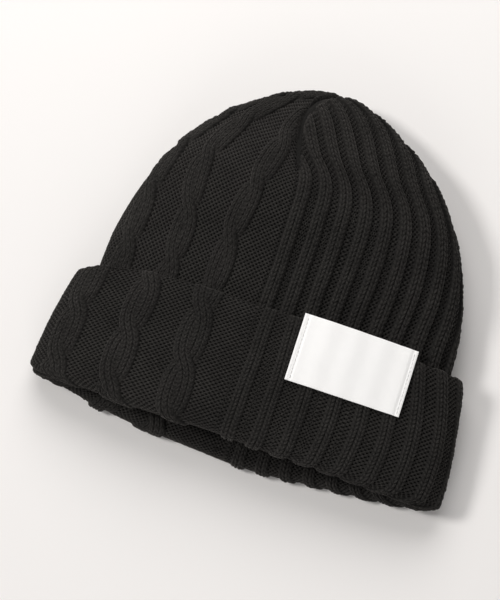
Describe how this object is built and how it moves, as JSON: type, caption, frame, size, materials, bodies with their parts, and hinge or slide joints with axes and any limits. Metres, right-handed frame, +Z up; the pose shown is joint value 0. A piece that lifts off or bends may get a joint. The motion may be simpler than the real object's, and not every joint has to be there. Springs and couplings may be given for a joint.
{
  "type": "knit beanie",
  "caption": "Knitted beanie with a turned-up cuff, a tapering gathered crown, a sewn cloth label on the cuff and a care label inside.",
  "frame": {"origin": "on the surface the hat lies on, under the middle of its outline", "axes": "+X across the hat to the wearer's left, +Y from the brim to the crown's tip, +Z up through the hat from its back to its front"},
  "size_m": [0.2402, 0.22, 0.0475],
  "materials": {
    "knit": "charcoal wool-blend knit, matt",
    "yarn": "black linking yarn, matt",
    "label": "white woven satin ribbon",
    "thread": "white polyester sewing thread"
  },
  "bodies": {
    "crown": {"crown_knit": "knit", "dart_seam_left": "yarn", "dart_seam_front": "yarn", "dart_seam_right": "yarn", "dart_seam_back": "yarn", "back_seam": "yarn", "crown_closing_yarn": "yarn", "care_label_stitch": "thread"},
    "cuff": {"turned_cuff": "knit", "cuff_back_seam": "yarn", "front_label": "label", "label_stitch_inner": "thread", "label_stitch_outer": "thread"},
    "care_flap": {"care_label": "label"}
  },
  "joints": [
    {"name": "cuff_slide", "type": "slide", "parent": "crown", "child": "cuff", "axis": [0, -1, 0], "range_m": [0, 0.02]},
    {"name": "care_label_flip", "type": "hinge", "parent": "crown", "child": "care_flap", "pos_m": [0, -0.035, 0.01005], "axis": [0, -1, 0], "range_deg": [0, 160]}
  ]
}
